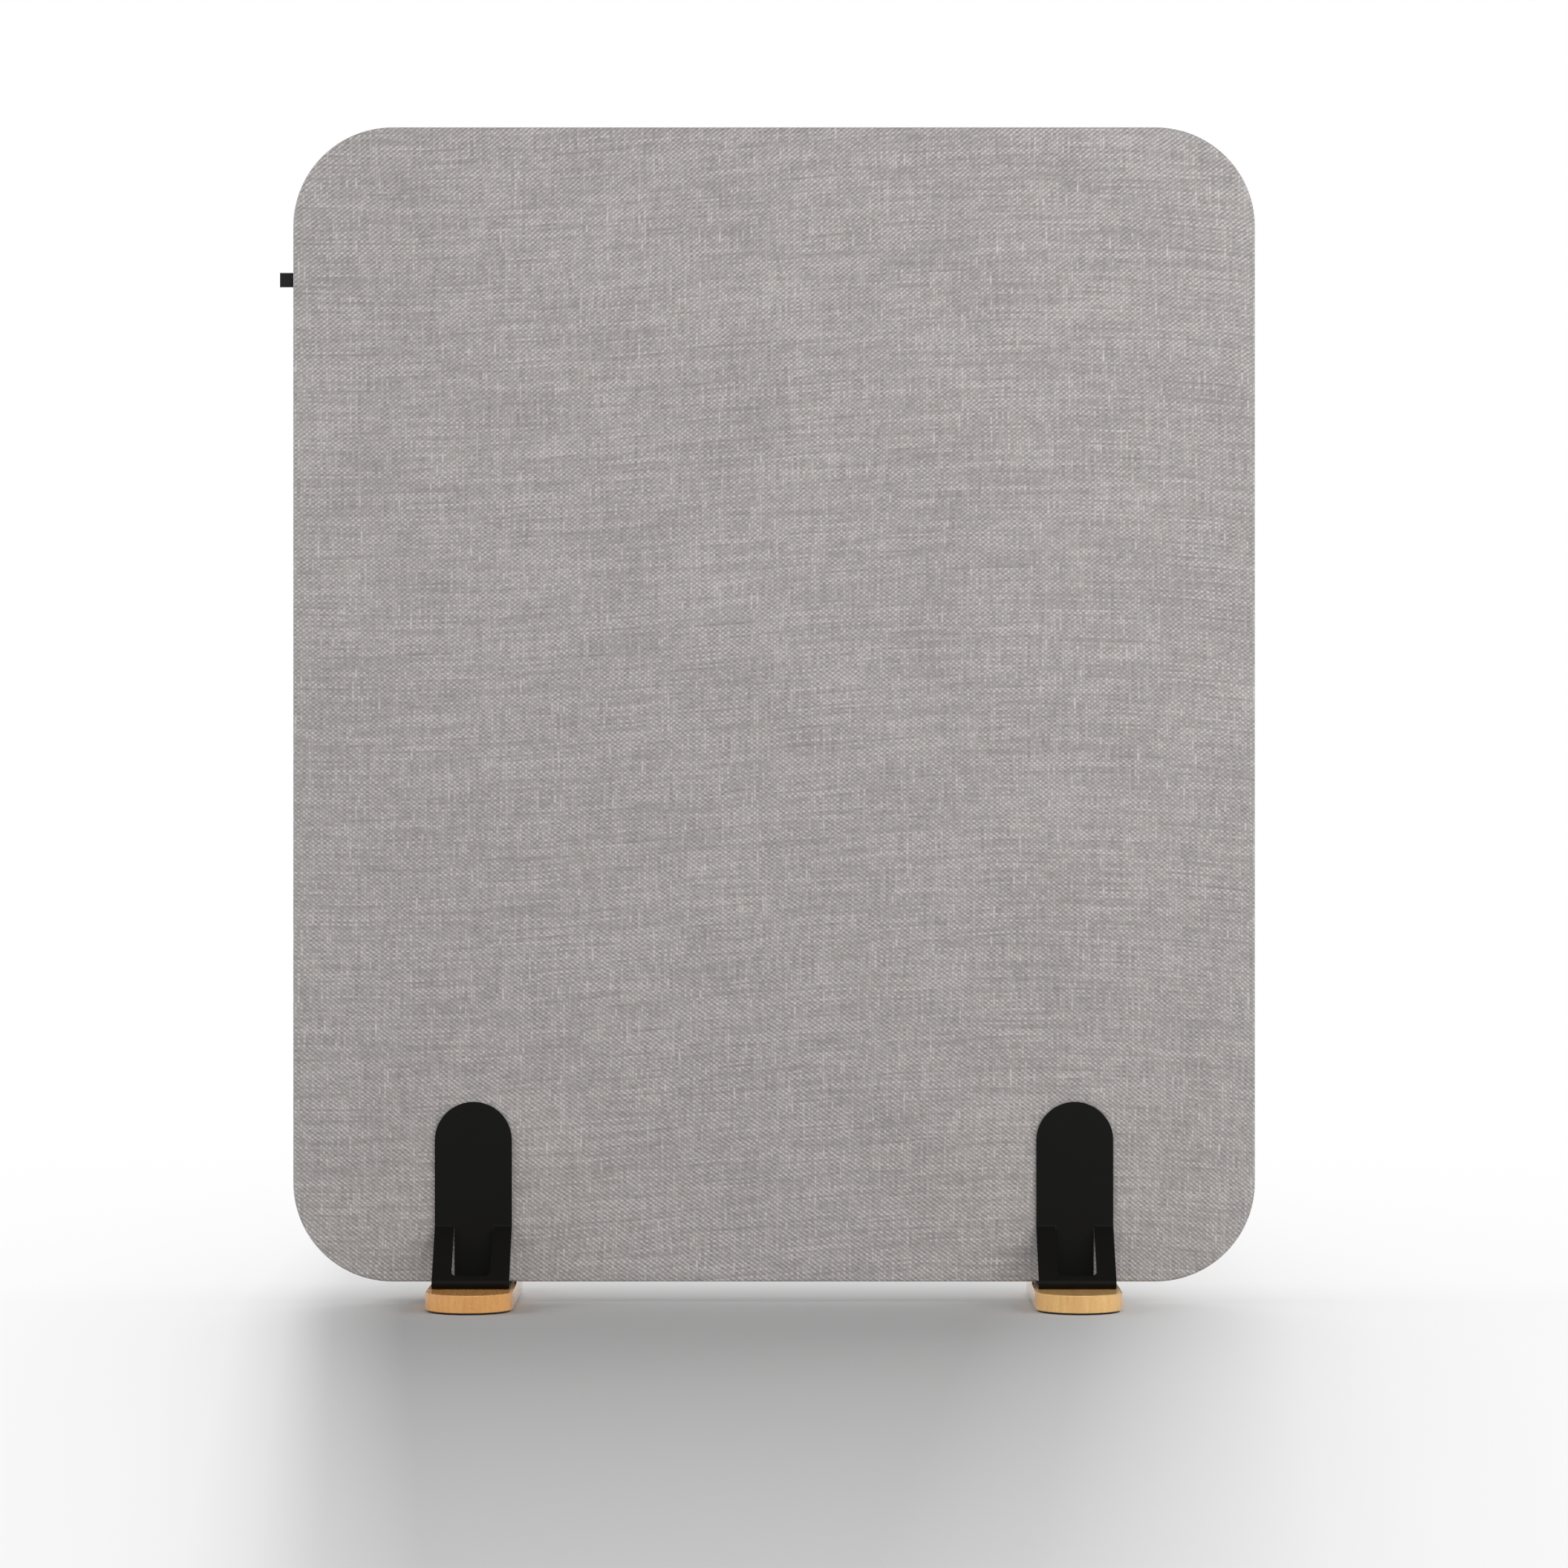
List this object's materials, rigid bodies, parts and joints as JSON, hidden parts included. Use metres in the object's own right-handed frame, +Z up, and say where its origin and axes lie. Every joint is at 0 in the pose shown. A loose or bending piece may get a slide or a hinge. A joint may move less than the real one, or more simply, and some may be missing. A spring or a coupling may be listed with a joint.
{
  "type": "acoustic divider screen",
  "caption": "Free-standing fabric-covered acoustic divider panel with rounded corners, held upright in bent steel brackets on wooden feet.",
  "frame": {"origin": "on the floor, under the middle of the panel", "axes": "+X to the viewer's right along the panel, +Y to the rear across its thickness, +Z up"},
  "size_m": [1.015, 0.28, 1.223],
  "materials": {
    "cloth": "matte",
    "tag_ribbon": "satin",
    "foam": "matte",
    "absorber": "matte",
    "frame_wood": "matte",
    "dowel_wood": "matte",
    "foot_wood": "satin",
    "black_steel": "satin",
    "pad_rubber": "matte",
    "zinc_screws": "satin",
    "black_screws": "satin",
    "insert_brass": "satin"
  },
  "bodies": {
    "root": {"front_cover": "cloth", "rear_cover": "cloth", "side_tag": "tag_ribbon", "front_foam_pad": "foam", "rear_foam_pad": "foam", "upper_absorber_slab": "absorber", "lower_absorber_slab": "absorber", "top_rail": "frame_wood", "bottom_rail": "frame_wood", "middle_rail": "frame_wood", "left_stile": "frame_wood", "right_stile": "frame_wood", "top_left_corner_block": "frame_wood", "top_right_corner_block": "frame_wood", "bottom_left_corner_block": "frame_wood", "bottom_right_corner_block": "frame_wood", "frame_dowels": "dowel_wood", "threaded_inserts": "insert_brass", "left_slat": "foot_wood", "left_foot_pad": "pad_rubber", "left_bracket": "black_steel", "left_panel_screws": "zinc_screws", "left_panel_screw_washers": "zinc_screws", "left_plate_screws": "black_screws", "right_slat": "foot_wood", "right_foot_pad": "pad_rubber", "right_bracket": "black_steel", "right_panel_screws": "zinc_screws", "right_panel_screw_washers": "zinc_screws", "right_plate_screws": "black_screws"}
  },
  "joints": []
}
